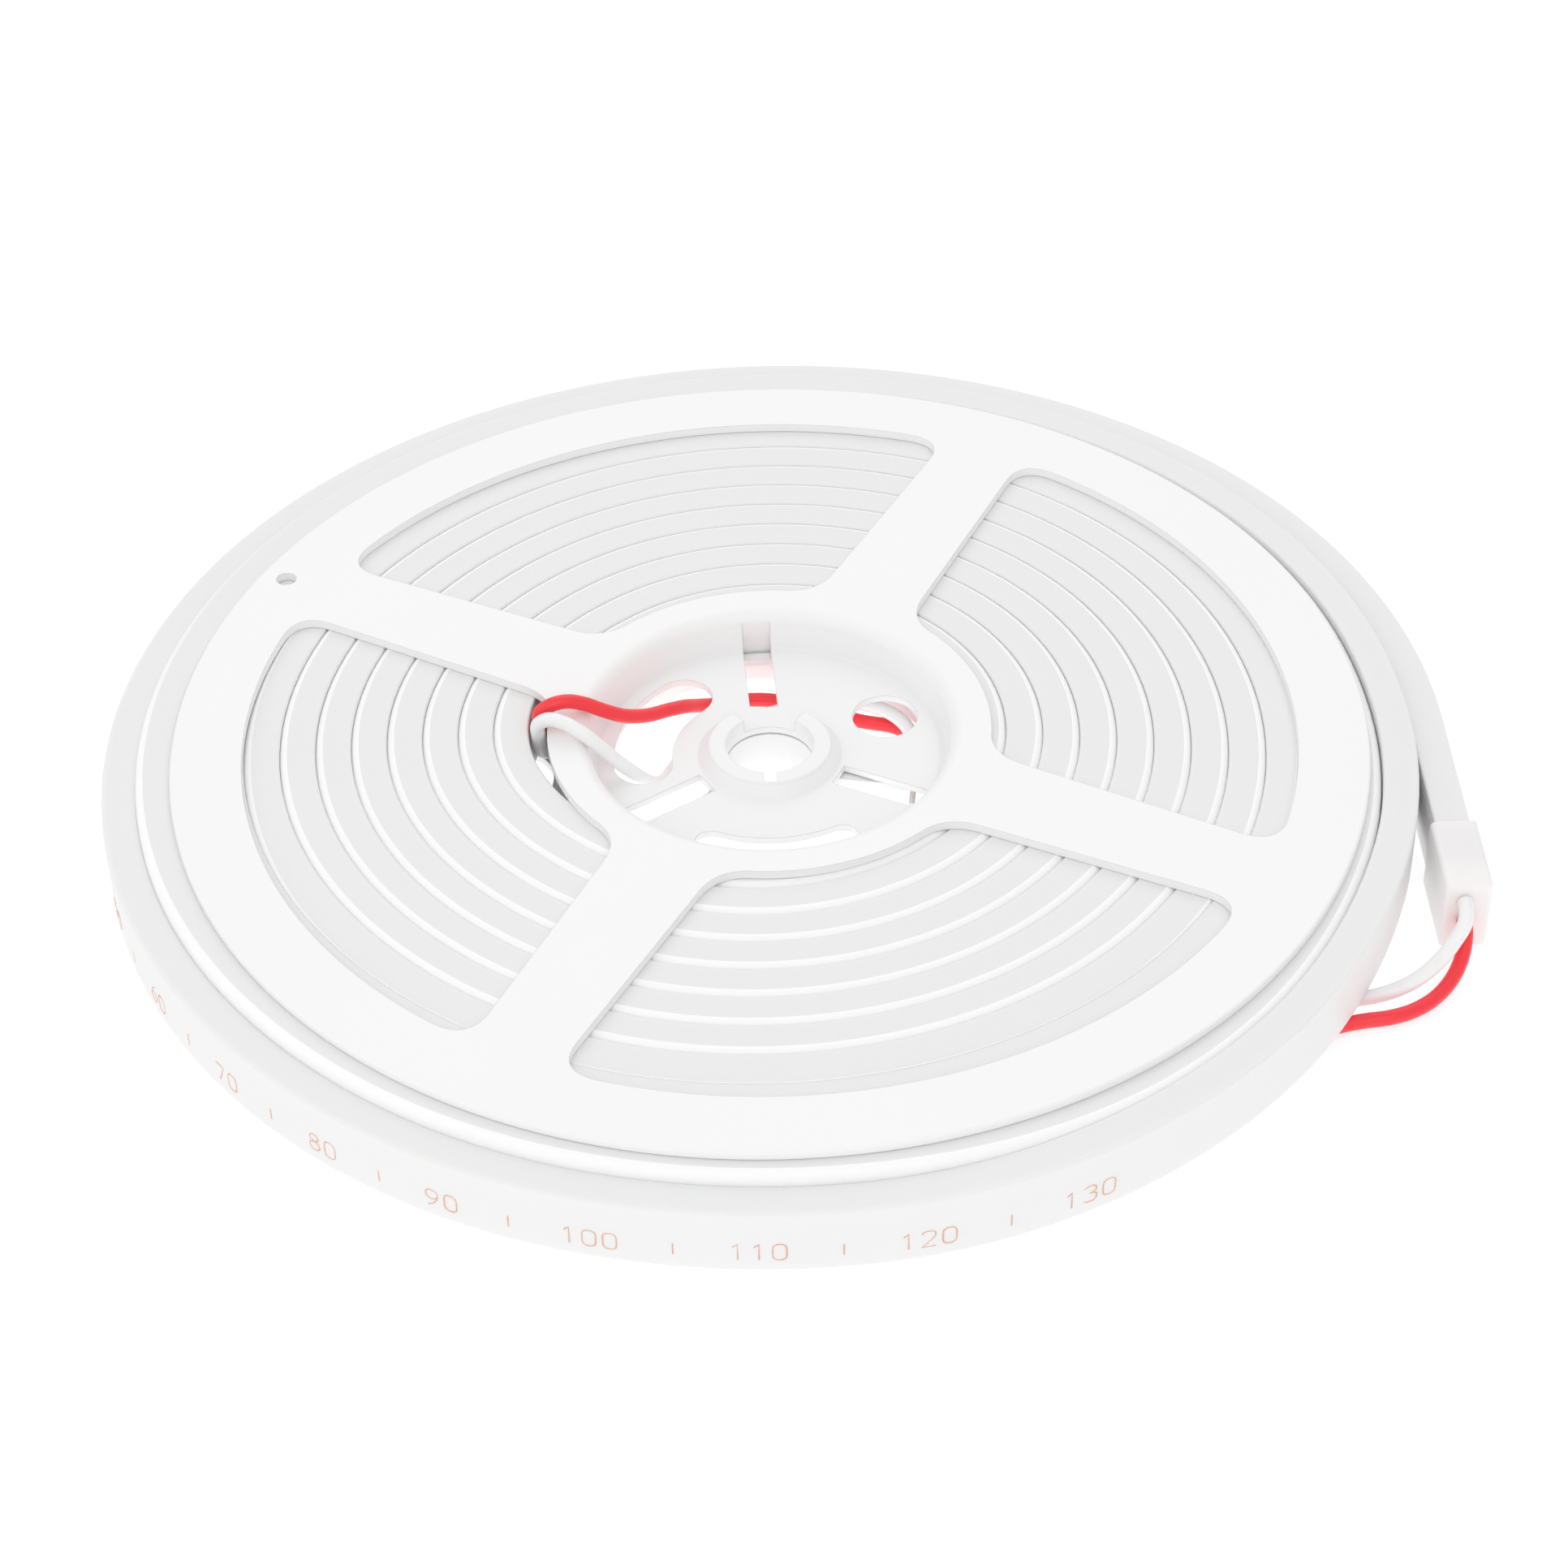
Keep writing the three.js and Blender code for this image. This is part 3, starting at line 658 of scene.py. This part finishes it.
def smooth_route(points, per_span):
    """Points of a centripetal Catmull-Rom curve through the given ones."""
    knots = [Vector(p) for p in points]
    knots = [knots[0] * 2 - knots[1]] + knots + [knots[-1] * 2 - knots[-2]]
    route = []
    for p0, p1, p2, p3 in zip(knots, knots[1:], knots[2:], knots[3:]):
        t1 = (p1 - p0).length ** 0.5
        t2 = t1 + (p2 - p1).length ** 0.5
        t3 = t2 + (p3 - p2).length ** 0.5
        for i in range(per_span):
            t = t1 + (t2 - t1) * i / per_span
            a1 = p0 * ((t1 - t) / t1) + p1 * (t / t1)
            a2 = p1 * ((t2 - t) / (t2 - t1)) + p2 * ((t - t1) / (t2 - t1))
            a3 = p2 * ((t3 - t) / (t3 - t2)) + p3 * ((t - t2) / (t3 - t2))
            b1 = a1 * ((t2 - t) / t2) + a2 * (t / t2)
            b2 = a2 * ((t3 - t) / (t3 - t1)) + a3 * ((t - t1) / (t3 - t1))
            route.append(b1 * ((t2 - t) / (t2 - t1)) + b2 * ((t - t1) / (t2 - t1)))
    route.append(knots[-2].copy())
    return route


def tube(name, route, radius, roundness):
    """A round cord through a route of points."""
    curve = bpy.data.curves.new(name, "CURVE")
    curve.dimensions = "3D"
    curve.bevel_depth = radius
    curve.bevel_resolution = roundness
    curve.use_fill_caps = True
    line = curve.splines.new("POLY")
    line.points.add(len(route) - 1)
    for point, place in zip(line.points, route):
        point.co = (*place, 1)
    line.use_smooth = True
    piece = bpy.data.objects.new(name, curve)
    bpy.context.scene.collection.objects.link(piece)
    return piece


def add_lead(name, points, node, material, bare_end):
    sizes = bpy.context.scene.lead_sizes
    route = [HUB + place for place in smooth_route(points, 6)]
    lead = tube(name, route, sizes.diameter / 2, 5)
    lead.data.materials.append(material)
    if bare_end:
        wire, inside = sizes.diameter * 0.23, 0.001
        way = (route[-1] - route[-3]).normalized()
        tip = tube(name + "_tip", [route[-1] - way * inside, route[-1] + way * sizes.tip], wire, 3)
        tip.data.materials.append(tinned_wire())
        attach(tip, "root")
    length = sum((b - a).length for a, b in zip(route, route[1:]))
    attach(lead, "root")
    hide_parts(node)


class STRIPREEL_OT_leads(bpy.types.Operator):
    """Lay the four leads: two at the strip's outer end and two in the hub"""

    bl_idname = "stripreel.leads"
    bl_label = "Leads"

    def execute(self, context):
        finishes = context.scene.finishes
        red = insulation("red_insulation", finishes.red)
        white = insulation("white_insulation", finishes.white)
        add_lead("outer_red", OUTER_RED, "outer_lead_red", red, False)
        add_lead("outer_white", OUTER_WHITE, "outer_lead_white", white, False)
        add_lead("inner_red", INNER_RED, "inner_lead_red", red, True)
        add_lead("inner_white", INNER_WHITE, "inner_lead_white", white, True)
        return {"FINISHED"}


# Reel halves

def flange_windows(sizes, low, high):
    """Cutters for the four windows between a flange's spokes."""
    cutters = []
    for start in range(63, 423, 90):
        outline = window(sizes.window_inner, sizes.window_outer, start, start + 90,
                         half_inside=0.0078, half_outside=0.0067, round_inside=0.0055, round_outside=0.006)
        cutters.append(prism(outline, low, high))
    return cutters


def levels(sizes, strip):
    """Height of the whole reel and of its middle plane."""
    height = 2 * (sizes.flange_thickness + STRIP_CLEARANCE) + strip.height
    return height, height / 2


class STRIPREEL_OT_top_half(bpy.types.Operator):
    """Mould the top half: flange, drum wall, well, hub floor, boss and its openings"""

    bl_idname = "stripreel.top_half"
    bl_label = "Top half"

    def execute(self, context):
        sizes = context.scene.reel_sizes
        height, middle = levels(sizes, context.scene.strip_sizes)
        under = height - sizes.flange_thickness
        base = middle + HALF_GAP
        floor = base + HUB_FLOOR
        drum, flange = sizes.drum_radius, sizes.flange_radius
        boss, bore = sizes.boss_radius, sizes.bore_radius
        collar, collar_end = drum - COLLAR_STEP, base - COLLAR_DEPTH
        well = drum - sizes.drum_wall
        rim = well + DRAFT
        root, fillet = 0.0003, 0.0006
        foot = 0.0111
        top = floor + 0.0022
        profile = [(bore, base), (collar, base), (collar, collar_end), (drum, collar_end), (drum, under - root)]
        profile += arc((drum + root, under - root), root, 180, 90, 3)[1:]
        profile += arc((flange - EDGE, under + EDGE), EDGE, -90, 0, 5)
        profile += arc((flange - EDGE, height - EDGE), EDGE, 0, 90, 5)
        profile += arc((rim + RIM_ROUND, height - RIM_ROUND), RIM_ROUND, 90, 180, 10)
        profile += arc((well - fillet, floor + fillet), fillet, 0, -90, 4)
        profile += arc((foot, floor + fillet), fillet, 270, 200, 4)
        profile += arc((boss - EDGE, top - EDGE), EDGE, 0, 90, 4)
        profile += arc((bore + EDGE, top - EDGE), EDGE, 90, 180, 4)
        half = turn_about_hub("top_half", profile, sizes.segments)

        low, high = collar_end - PAST, height + PAST
        rim_hole = disc(radius=0.0847, degrees=153, size=0.00155, steps=32)
        cutters = flange_windows(sizes, under - PAST, high)
        cutters.append(prism(rim_hole, under - PAST, high))
        through = [
            radial_bar(bore - PAST, **KEYWAY),
            bent_slot(radius=0.0191, half=0.0044, start=133, end=186),
            bent_slot(radius=0.0216, half=0.0024, start=246, end=299),
            disc(radius=0.0195, degrees=26, size=0.00495, steps=48),
        ]
        through += [radial_bar(inner=0.0113, outer=0.027, width=0.0043, degrees=94 + 120 * i) for i in range(3)]
        cutters += [prism(outline, low, high) for outline in through]
        boss_gap = [(0, 0)] + arc((0, 0), 0.0125, 54, 126, 16)
        cutters.append(prism(boss_gap, floor, high))
        cut(half, cutters)
        finish_shading(half)
        dress(half, moulded_plastic(), "reel_top_half")
        return {"FINISHED"}


class STRIPREEL_OT_bottom_half(bpy.types.Operator):
    """Mould the bottom half: flange, drum wall, bottom well, hub tube and arms"""

    bl_idname = "stripreel.bottom_half"
    bl_label = "Bottom half"

    def execute(self, context):
        sizes = context.scene.reel_sizes
        middle = levels(sizes, context.scene.strip_sizes)[1]
        top = middle - HALF_GAP
        under = top - HUB_FLOOR
        shoulder = middle + HALF_GAP - COLLAR_DEPTH - LAP_CLEARANCE
        drum, flange, thick = sizes.drum_radius, sizes.flange_radius, sizes.flange_thickness
        lapped = drum - COLLAR_STEP - LAP_CLEARANCE
        well = drum - sizes.drum_wall
        rim = well + DRAFT
        bore = sizes.bore_radius
        tube_radius, tube_end = 0.0083, 0.001
        profile = [(bore, tube_end), (tube_radius, tube_end), (tube_radius, under), (well, under)]
        profile += arc((rim + RIM_ROUND, RIM_ROUND), RIM_ROUND, 180, 270, 10)
        profile += arc((flange - EDGE, EDGE), EDGE, 270, 360, 5)
        profile += arc((flange - EDGE, thick - EDGE), EDGE, 0, 90, 5)
        profile += [(drum, thick), (drum, shoulder), (lapped, shoulder), (lapped, top), (bore, top)]
        half = turn_about_hub("bottom_half", profile, sizes.segments)
        cutters = flange_windows(sizes, -PAST, thick + PAST)
        cutters.append(prism(radial_bar(bore - PAST, **KEYWAY), -PAST, middle))
        arms = [68, 228, 350, 428]
        for start, end in zip(arms, arms[1:]):
            outline = window(0.0102, well - 0.0008, start, end,
                             half_inside=0.0024, half_outside=0.0024, round_inside=0.0015, round_outside=0.0015)
            cutters.append(prism(outline, under - PAST, top + PAST))
        cut(half, cutters)
        finish_shading(half)
        dress(half, bpy.data.materials["moulded_plastic"], "reel_bottom_half")
        return {"FINISHED"}


# Strip, caps and print

class STRIPREEL_OT_strip(bpy.types.Operator):
    """Wind the silicone strip, with its diffuser outwards"""

    bl_idname = "stripreel.strip"
    bl_label = "Wound strip"

    face_middle = 8  # a point of the section on the diffuser's face
    lit_spans = range(2, 15)  # spans of the section that the diffuser takes up
    lay_along = 12
    lay_around = 1.9

    def execute(self, context):
        scene = context.scene
        path = winding()
        count = int((path.end - path.start) * path.sizes.steps_per_turn / 360)
        angles = np.linspace(path.start, path.end, count + 1)
        rings = np.array([self.ring(path, angle) for angle in angles])
        n = rings.shape[1]
        faces = [tuple(range(n))[::-1], tuple(count * n + i for i in range(n))]
        for first in range(0, count * n, n):
            for i in range(n):
                j = (i + 1) % n
                faces.append((first + i, first + j, first + n + j, first + n + i))
        mesh = bpy.data.meshes.new("wound_strip")
        mesh.from_pydata(rings.reshape(-1, 3).tolist(), [], faces)
        self.mark(mesh, path, angles, rings)
        finishes = scene.finishes
        mesh.materials.append(silicone("silicone_side", finishes.silicone, 0.012))
        mesh.materials.append(silicone("silicone_diffuser", finishes.diffuser, 0.008, finishes.diffuser_painted_light))
        mesh.polygons.foreach_set("material_index", [0, 0] + [int(i in self.lit_spans) for i in range(n)] * count)
        mesh.update()
        strip = bpy.data.objects.new("wound_strip", mesh)
        scene.collection.objects.link(strip)
        pick(strip)
        bpy.ops.object.mode_set(mode="EDIT")
        bpy.ops.mesh.select_all(action="SELECT")
        bpy.ops.mesh.normals_make_consistent(inside=False)
        bpy.ops.object.mode_set(mode="OBJECT")
        bpy.ops.object.shade_smooth_by_angle(angle=math.radians(32))
        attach(strip, "root")
        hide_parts("light_strip")
        return {"FINISHED"}

    def ring(self, path, angle):
        """The section at one angle, with its diffuser swollen outwards and its top pressed up."""
        here, out = path.frame_at(angle)
        swell, rise = path.swell(angle), path.rise(angle)
        section = strip_section(path.sizes.thickness, path.sizes.height, path.corner(angle))
        return [here + out * (across + swell * (across > 0)) + Vector((0, 0, up + rise * (up > 0)))
                for across, up in section]

    def mark(self, mesh, path, angles, rings):
        """Write what the silicone's material reads: how the strip was drawn, and the covered turns, which get a
        painted highlight and a faint painted glow.
        """
        steps = np.linalg.norm(np.diff(rings[:, self.face_middle], axis=0), axis=1)
        lengths = np.concatenate(([0.0], np.cumsum(steps)))
        values = np.zeros(rings.shape, np.float32)
        values[:, :, 0] = lengths[:, None] * self.lay_along
        values[:, :, 1] = np.arange(rings.shape[1]) * self.lay_around
        mesh.attributes.new("lay", "FLOAT_VECTOR", "POINT").data.foreach_set("vector", values.ravel())
        # Painted light mask: 1 on the covered turns, fading to 0 well before the free turns.
        painted_light_mask = [1 - smoothstep(angle, path.last - 190, path.last - 140) for angle in angles]
        painted_light_mask = np.repeat(np.array(painted_light_mask, np.float32), rings.shape[1])
        mesh.attributes.new("covered", "FLOAT", "POINT").data.foreach_set("value", painted_light_mask)


class STRIPREEL_OT_end_caps(bpy.types.Operator):
    """Fit the sleeve on the strip's outer end and the plug on its inner end"""

    bl_idname = "stripreel.end_caps"
    bl_label = "End caps"

    def execute(self, context):
        scene = context.scene
        sizes = scene.lead_sizes
        path = winding()
        milky = silicone("milky_silicone", scene.finishes.cap, 0.02)
        front, back = -sizes.cap_length / 2 + 1e-6, sizes.cap_length / 2 - 1e-6
        wall, pocket, overlap = 0.0005, 0.0084, 0.0081
        deselect()
        bpy.ops.mesh.primitive_cube_add(size=1, location=(0, 0, 0))
        cap = context.object
        cap.name = cap.data.name = "outer_cap"
        cap.scale = (sizes.cap_width, sizes.cap_length, sizes.cap_height)
        bpy.ops.object.transform_apply(location=False, rotation=False, scale=True)
        bpy.ops.object.mode_set(mode="EDIT")
        bpy.ops.mesh.select_mode(type="EDGE")
        self.choose(cap, "edges", lambda e: abs((e[0] - e[1]).y) > 0.001)
        bpy.ops.mesh.bevel(offset=0.0008, segments=4, affect="EDGES")
        self.choose(cap, "edges", lambda e: max(e[0].y, e[1].y) < front)
        bpy.ops.mesh.bevel(offset=0.0007, segments=4, affect="EDGES")
        bpy.ops.mesh.select_mode(type="FACE")
        self.choose(cap, "faces", lambda c: c.y > back)
        bpy.ops.mesh.inset(thickness=wall)
        bpy.ops.mesh.extrude_region_move(TRANSFORM_OT_translate={"value": (0, -pocket, 0)})
        bpy.ops.object.mode_set(mode="OBJECT")
        turn = math.atan2(path.tail_way.y, path.tail_way.x) + math.pi / 2
        middle = path.point(path.end) + Vector((*path.tail_way, 0)) * (sizes.cap_length / 2 - overlap)
        cap.data.transform(Matrix.Translation(middle) @ Matrix.Rotation(turn, 4, "Z"))
        finish_shading(cap, 35)
        dress(cap, milky, "outer_end_cap")

        plug_length, plug_width, inside, toe_out = 0.009, 0.0056, 0.00055, 5
        start = path.point(path.start)
        heading = (start - path.point(path.start + path.whole_angle / 1000)).to_2d()
        angle = math.atan2(heading.y, heading.x) + math.radians(toe_out)
        deselect()
        bpy.ops.mesh.primitive_cube_add(size=1, location=(0, 0, 0))
        plug = context.object
        plug.name = plug.data.name = "inner_plug"
        plug.scale = (plug_length, plug_width, scene.strip_sizes.height)
        bpy.ops.object.transform_apply(location=False, rotation=False, scale=True)
        bpy.ops.object.mode_set(mode="EDIT")
        bpy.ops.mesh.select_all(action="SELECT")
        bpy.ops.mesh.bevel(offset=0.0006, segments=3, affect="EDGES")
        bpy.ops.object.mode_set(mode="OBJECT")
        place = start + Vector((math.cos(angle), math.sin(angle), 0)) * (inside + plug_length / 2)
        plug.data.transform(Matrix.Translation(place) @ Matrix.Rotation(angle, 4, "Z"))
        finish_shading(plug, 35)
        dress(plug, milky, "inner_end_cap")
        return {"FINISHED"}

    def choose(self, piece, what, test):
        """Select the edges or faces of a piece that pass a test on their corners or centre."""
        bpy.ops.mesh.select_all(action="DESELECT")
        bpy.ops.object.mode_set(mode="OBJECT")
        points = piece.data.vertices
        if what == "edges":
            for edge in piece.data.edges:
                edge.select = test([points[i].co for i in edge.vertices])
        else:
            for face in piece.data.polygons:
                face.select = test(face.center)
        bpy.ops.object.mode_set(mode="EDIT")


class STRIPREEL_OT_print(bpy.types.Operator):
    """Print plain numbers and ticks along the strip's outer face"""

    bl_idname = "stripreel.print"
    bl_label = "Printed figures"

    def execute(self, context):
        sizes = context.scene.strip_sizes
        path = winding()
        cell = sizes.print_height / CELL_HEIGHT
        step = cell * 1.52
        sink, drop = 0.0001, 0.0017
        angle = path.last + 165
        curve = bpy.data.curves.new("printed_figures", "CURVE")
        curve.dimensions = "3D"
        curve.bevel_depth = 0.00015
        curve.bevel_resolution = 1
        reach = sizes.thickness / 2 - sink
        for mark in sizes.print_text:
            for stroke in FIGURES.get(mark, []):
                line = curve.splines.new("POLY")
                line.points.add(len(stroke) - 1)
                for point, (x, y) in zip(line.points, stroke):
                    turned = angle - math.degrees(x * cell / path.radius(angle))
                    here, out = path.frame_at(turned)
                    up = (y / CELL_HEIGHT - 0.5) * sizes.print_height - drop
                    place = here + out * reach + Vector((0, 0, up))
                    point.co = (*place, 1)
            angle -= math.degrees(step / path.radius(angle))
        figures = bpy.data.objects.new("printed_figures", curve)
        context.scene.collection.objects.link(figures)
        pick(figures)
        bpy.ops.object.convert(target="MESH")
        figures = context.object
        figures.data.materials.append(printed_ink())
        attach(figures, "root")
        return {"FINISHED"}


class STRIPREEL_OT_stage(bpy.types.Operator):
    """Set up the camera, the pale floor and the soft studio lights"""

    bl_idname = "stripreel.stage"
    bl_label = "Stage and camera"

    def execute(self, context):
        scene = context.scene
        scene.camera = self.photo_camera()
        scene.view_settings.view_transform = "Standard"

        deselect()
        bpy.ops.mesh.primitive_plane_add(size=6, location=(0, 0, -0.0001))
        floor = context.object
        floor.name = floor.data.name = "studio_floor"
        bpy.ops.object.transform_apply(location=True, rotation=False, scale=True)
        floor.data.materials.append(studio_floor())

        world = bpy.data.worlds.new("studio")
        world.use_nodes = True
        sky = world.node_tree.nodes["Background"]
        sky.inputs["Color"].default_value = (1, 1, 1, 1)
        sky.inputs["Strength"].default_value = 0.72
        scene.world = world
        self.softbox("back_light", (0.1, 0.75, 0.75), 0.9, 1.9)
        self.softbox("left_light", (-0.7, -0.1, 0.6), 0.7, 1.0)
        self.softbox("front_light", (0.1, -0.75, 0.75), 0.9, 2.2)
        return {"FINISHED"}

    def photo_camera(self):
        """The camera fitted to the photo: raised over the table, a little tilted, aimed at the reel's middle."""
        rise, roll, distance = math.radians(40.07), math.radians(-1.085), 0.5488
        target = HUB + Vector((0.00202, -0.01386, 0.0141))
        right, up = Vector((1, 0, 0)), Vector((0, math.sin(rise), math.cos(rise)))
        back = Vector((0, -math.cos(rise), math.sin(rise)))
        across = right * math.cos(roll) + up * math.sin(roll)
        upward = up * math.cos(roll) - right * math.sin(roll)
        view = bpy.data.cameras.new("photo_view")
        view.lens = 86.12
        view.sensor_width = 36
        view.sensor_fit = "HORIZONTAL"
        view.clip_start = 0.01
        camera = bpy.data.objects.new("photo_view", view)
        turn = Matrix((across, upward, back)).transposed().to_4x4()
        camera.matrix_world = Matrix.Translation(target + back * distance) @ turn
        bpy.context.scene.collection.objects.link(camera)
        return camera

    def softbox(self, name, place, size, power):
        """A square area light that faces the origin."""
        lamp = bpy.data.lights.new(name, "AREA")
        lamp.shape = "SQUARE"
        lamp.size = size
        lamp.energy = power
        holder = bpy.data.objects.new(name, lamp)
        turn = Vector(place).to_track_quat("Z", "Y").to_matrix().to_4x4()
        holder.matrix_world = Matrix.Translation(place) @ turn
        bpy.context.scene.collection.objects.link(holder)


class STRIPREEL_PT_panel(bpy.types.Panel):
    """Buttons and sizes of the strip reel"""

    bl_label = "Strip Reel"
    bl_idname = "STRIPREEL_PT_panel"
    bl_space_type = "VIEW_3D"
    bl_region_type = "UI"
    bl_category = "Strip Reel"

    def draw(self, context):
        for operator in OPERATORS:
            self.layout.operator(operator.bl_idname)
        for group_name, kind in GROUPS.items():
            box = self.layout.box()
            for name in kind.__annotations__:
                box.prop(getattr(context.scene, group_name), name)


OPERATORS = (STRIPREEL_OT_stage, STRIPREEL_OT_leads, STRIPREEL_OT_top_half, STRIPREEL_OT_bottom_half,
             STRIPREEL_OT_strip, STRIPREEL_OT_end_caps, STRIPREEL_OT_print)
GROUPS = {"reel_sizes": ReelSizes, "strip_sizes": StripSizes, "lead_sizes": LeadSizes, "finishes": Finishes}


def register():
    for name, group in GROUPS.items():
        bpy.utils.register_class(group)
        setattr(bpy.types.Scene, name, PointerProperty(type=group))
    for operator in OPERATORS:
        bpy.utils.register_class(operator)
    bpy.utils.register_class(STRIPREEL_PT_panel)


def unregister():
    bpy.utils.unregister_class(STRIPREEL_PT_panel)
    for operator in reversed(OPERATORS):
        bpy.utils.unregister_class(operator)
    for name, group in GROUPS.items():
        delattr(bpy.types.Scene, name)
        bpy.utils.unregister_class(group)


def main():
    register()
    bpy.ops.stripreel.stage()
    bpy.ops.stripreel.leads()
    bpy.ops.stripreel.top_half()
    bpy.ops.stripreel.bottom_half()
    bpy.ops.stripreel.strip()
    bpy.ops.stripreel.end_caps()
    bpy.ops.stripreel.print()


if __name__ == "__main__":
    main()
